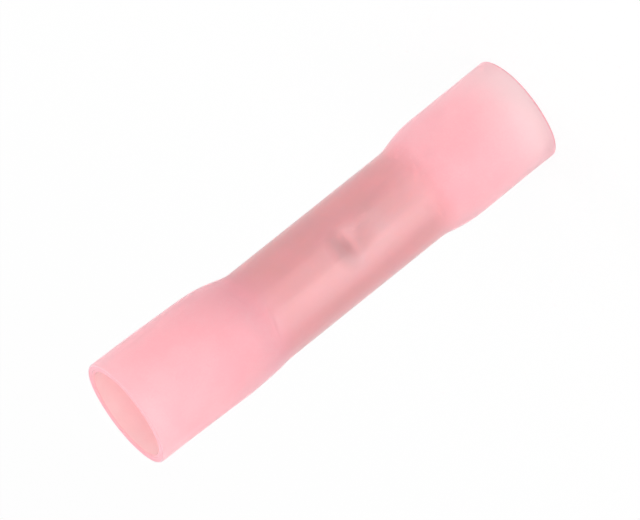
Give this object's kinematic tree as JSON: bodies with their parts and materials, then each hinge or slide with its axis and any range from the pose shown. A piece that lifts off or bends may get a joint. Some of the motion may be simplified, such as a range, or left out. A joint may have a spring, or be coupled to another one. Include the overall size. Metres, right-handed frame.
{
  "type": "butt splice connector",
  "caption": "Heat-shrink butt splice: a translucent pink sleeve with a hot-melt lining, necked down on a tinned copper crimp barrel that joins wires end to end.",
  "frame": {"origin": "centre of the sleeve's lower cut end, the ring it stands on", "axes": "+Z along the connector's axis towards its upper mouth, -Y towards the dent that forms the wire stop"},
  "size_m": [0.01, 0.01, 0.044],
  "materials": {
    "sleeve": "frosted translucent pink polyolefin",
    "lining": "pale translucent hot-melt adhesive",
    "barrel": "tin plate on drawn copper tube"
  },
  "bodies": {
    "root": {"heat_shrink_sleeve": "sleeve", "adhesive_lining": "lining", "crimp_barrel": "barrel"}
  },
  "joints": []
}
